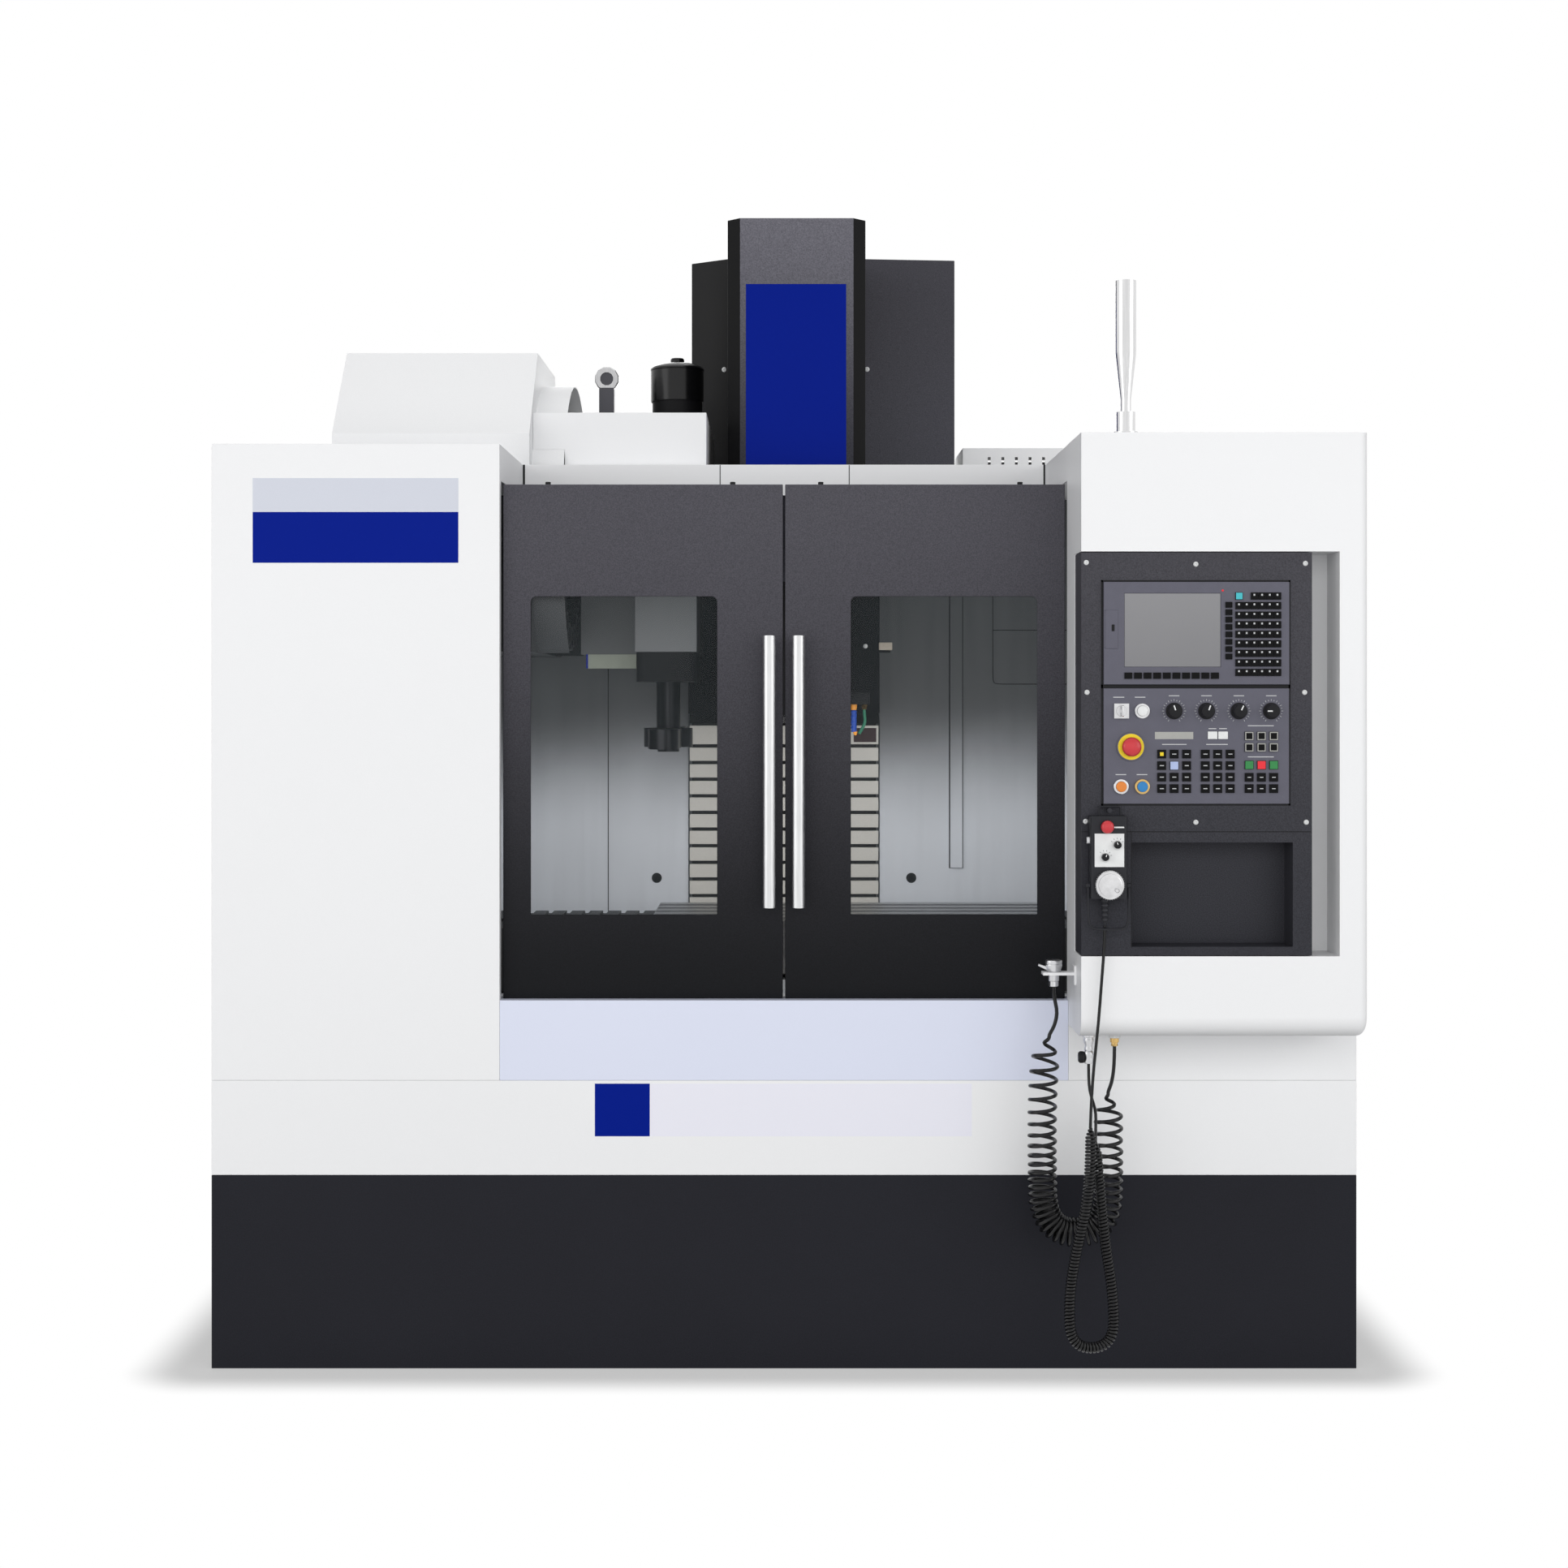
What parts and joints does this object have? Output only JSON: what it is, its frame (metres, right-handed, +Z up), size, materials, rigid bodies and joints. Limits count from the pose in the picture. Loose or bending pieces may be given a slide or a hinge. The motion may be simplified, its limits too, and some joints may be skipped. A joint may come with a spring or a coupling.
{
  "type": "cnc machining center",
  "caption": "Vertical CNC machining center with sliding doors, swing-out console, hand pendant, air gun, arm tool changer, cross table and a head on a column.",
  "frame": {"origin": "on the floor under the spindle axis, halfway across the width", "axes": "+X to the operator's right, +Y from the doors to the back, +Z up"},
  "size_m": [2.5, 2.2713, 2.67],
  "materials": {
    "black_paint": "satin",
    "grey_casting": "painted",
    "table_iron": "ground",
    "ground_steel": "ground",
    "black_motor": "painted",
    "black_cover": "matt",
    "steel_cover": "brushed",
    "black_casting": "painted",
    "pale_film": "protective film",
    "satin_aluminium": "satin",
    "light_grey_paint": "fine texture",
    "dark_grey_paint": "fine texture",
    "window_glass": "clear",
    "chromed_steel": "polished",
    "black_plastic": "matt",
    "key_film": "film",
    "red_plastic": "gloss",
    "orange_plastic": "gloss",
    "blue_plastic": "gloss",
    "silver_plastic": "gloss",
    "dark_plastic": "matt",
    "lamp_plastic": "gloss",
    "black_hose": "gloss"
  },
  "bodies": {
    "frame": {"base_skirt": "black_paint", "bed": "grey_casting", "column": "grey_casting", "servo_motors": "black_motor", "x_way_covers": "black_cover", "y_way_cover": "steel_cover", "z_way_cover": "steel_cover", "tool_changer_gearbox": "black_motor", "magazine_cover": "light_grey_paint", "tool_changer_cover": "light_grey_paint", "column_shroud": "dark_grey_paint", "left_enclosure": "light_grey_paint", "right_enclosure": "light_grey_paint", "splash_liner": "light_grey_paint", "lower_panel": "light_grey_paint", "roof_panel": "light_grey_paint", "sill_panel": "pale_film", "control_box": "light_grey_paint", "air_gun": "chromed_steel", "signal_lamp": "lamp_plastic", "air_hose": "black_hose", "electrical_cabinet": "light_grey_paint"},
    "saddle": {"saddle": "grey_casting"},
    "table": {"worktable": "table_iron"},
    "head": {"headstock": "black_casting", "spindle_motor": "black_motor", "head_cover": "dark_grey_paint", "coolant_nozzles": "black_plastic"},
    "spindle": {"spindle": "ground_steel"},
    "x_screw": {"x_ballscrew": "ground_steel"},
    "y_screw": {"y_ballscrew": "ground_steel"},
    "z_screw": {"z_ballscrew": "ground_steel"},
    "changer_shaft": {"tool_changer_shaft": "ground_steel"},
    "changer_arm": {"tool_changer_arm": "ground_steel"},
    "magazine": {"tool_magazine": "black_plastic"},
    "left_door": {"left_door": "dark_grey_paint", "left_window": "window_glass", "left_handle": "satin_aluminium"},
    "right_door": {"right_door": "dark_grey_paint", "right_window": "window_glass", "right_handle": "satin_aluminium"},
    "console": {"console": "dark_grey_paint", "cnc_unit": "black_plastic", "panel_keys": "key_film", "pendant": "dark_plastic", "pendant_cable": "black_hose"},
    "knob_1": {"override_knob_1": "black_plastic"},
    "knob_2": {"override_knob_2": "black_plastic"},
    "knob_3": {"override_knob_3": "black_plastic"},
    "knob_4": {"override_knob_4": "black_plastic"},
    "emergency_stop": {"emergency_stop": "red_plastic"},
    "key_switch": {"key_switch": "chromed_steel"},
    "power_button": {"power_button": "silver_plastic"},
    "start_button": {"start_button": "orange_plastic"},
    "reset_button": {"reset_button": "blue_plastic"},
    "pendant_stop": {"pendant_stop": "red_plastic"},
    "pendant_handwheel": {"pendant_handwheel": "chromed_steel"},
    "axis_selector": {"axis_selector": "black_plastic"},
    "step_selector": {"step_selector": "black_plastic"},
    "cabinet_door": {"cabinet_door": "light_grey_paint"}
  },
  "joints": [
    {"name": "y_slide", "type": "slide", "parent": "frame", "child": "saddle", "axis": [0, 1, 0], "range_m": [-0.25, 0.25], "deforming": ["y_way_cover"]},
    {"name": "x_slide", "type": "slide", "parent": "saddle", "child": "table", "axis": [1, 0, 0], "range_m": [-0.572, 0.228], "deforming": ["x_way_covers"]},
    {"name": "z_slide", "type": "slide", "parent": "frame", "child": "head", "axis": [0, 0, 1], "range_m": [-0.4, 0], "deforming": ["z_way_cover"]},
    {"name": "spindle_spin", "type": "hinge", "parent": "head", "child": "spindle", "pos_m": [0, 0, 1.4], "axis": [0, 0, 1], "continuous": true},
    {"name": "x_screw_spin", "type": "hinge", "parent": "saddle", "child": "x_screw", "pos_m": [0, 0, 0.76], "axis": [1, 0, 0], "continuous": true},
    {"name": "y_screw_spin", "type": "hinge", "parent": "frame", "child": "y_screw", "pos_m": [0, 0, 0.585], "axis": [0, 1, 0], "continuous": true},
    {"name": "z_screw_spin", "type": "hinge", "parent": "frame", "child": "z_screw", "pos_m": [0, 0.59, 1.5], "axis": [0, 0, 1], "continuous": true},
    {"name": "changer_lift", "type": "slide", "parent": "frame", "child": "changer_shaft", "axis": [0, 0, 1], "range_m": [-0.115, 0]},
    {"name": "arm_swing", "type": "hinge", "parent": "changer_shaft", "child": "changer_arm", "pos_m": [-0.295, 0, 1.364], "axis": [0, 0, 1], "range_deg": [0, 180]},
    {"name": "magazine_spin", "type": "hinge", "parent": "frame", "child": "magazine", "pos_m": [-0.67, 0, 1.885], "axis": [1, 0, 0], "continuous": true},
    {"name": "left_door_slide", "type": "slide", "parent": "frame", "child": "left_door", "axis": [-1, 0, 0], "range_m": [0, 0.56]},
    {"name": "right_door_slide", "type": "slide", "parent": "frame", "child": "right_door", "axis": [1, 0, 0], "range_m": [0, 0.56]},
    {"name": "console_swing", "type": "hinge", "parent": "frame", "child": "console", "pos_m": [0.636, -0.966, 1.347], "axis": [0, 0, -1], "range_deg": [0, 45]},
    {"name": "override_knob_1_turn", "type": "hinge", "parent": "console", "child": "knob_1", "pos_m": [0.8139, -1.07, 1.4367], "axis": [0, -1, 0], "range_deg": [-135, 135]},
    {"name": "override_knob_2_turn", "type": "hinge", "parent": "console", "child": "knob_2", "pos_m": [0.8815, -1.07, 1.4367], "axis": [0, -1, 0], "range_deg": [-135, 135]},
    {"name": "override_knob_3_turn", "type": "hinge", "parent": "console", "child": "knob_3", "pos_m": [0.9491, -1.07, 1.4367], "axis": [0, -1, 0], "range_deg": [-135, 135]},
    {"name": "override_knob_4_turn", "type": "hinge", "parent": "console", "child": "knob_4", "pos_m": [1.0167, -1.07, 1.4367], "axis": [0, -1, 0], "range_deg": [-135, 135]},
    {"name": "emergency_stop_press", "type": "slide", "parent": "console", "child": "emergency_stop", "axis": [0, 1, 0], "range_m": [0, 0.006], "stiffness_N_per_m": 1500},
    {"name": "key_switch_turn", "type": "hinge", "parent": "console", "child": "key_switch", "pos_m": [0.7034, -1.075, 1.4367], "axis": [0, -1, 0], "range_deg": [-90, 0]},
    {"name": "power_button_press", "type": "slide", "parent": "console", "child": "power_button", "axis": [0, 1, 0], "range_m": [0, 0.004], "stiffness_N_per_m": 600},
    {"name": "start_button_press", "type": "slide", "parent": "console", "child": "start_button", "axis": [0, 1, 0], "range_m": [0, 0.004], "stiffness_N_per_m": 600},
    {"name": "reset_button_press", "type": "slide", "parent": "console", "child": "reset_button", "axis": [0, 1, 0], "range_m": [0, 0.004], "stiffness_N_per_m": 600},
    {"name": "pendant_stop_press", "type": "slide", "parent": "console", "child": "pendant_stop", "axis": [0, 1, 0], "range_m": [0, 0.004], "stiffness_N_per_m": 800},
    {"name": "handwheel_spin", "type": "hinge", "parent": "console", "child": "pendant_handwheel", "pos_m": [0.673, -1.12, 1.077], "axis": [0, -1, 0], "continuous": true},
    {"name": "axis_selector_turn", "type": "hinge", "parent": "console", "child": "axis_selector", "pos_m": [0.6897, -1.11, 1.16], "axis": [0, -1, 0], "range_deg": [-75, 75]},
    {"name": "step_selector_turn", "type": "hinge", "parent": "console", "child": "step_selector", "pos_m": [0.6644, -1.11, 1.1346], "axis": [0, -1, 0], "range_deg": [-45, 45]},
    {"name": "cabinet_door_swing", "type": "hinge", "parent": "frame", "child": "cabinet_door", "pos_m": [1.187, 0.869, 1.3], "axis": [0, 0, -1], "range_deg": [0, 110]}
  ],
  "couplings": [
    {"joint": "x_screw_spin", "follows": "x_slide", "rad_per_m": -392.7},
    {"joint": "y_screw_spin", "follows": "y_slide", "rad_per_m": -392.7},
    {"joint": "z_screw_spin", "follows": "z_slide", "rad_per_m": -392.7}
  ]
}
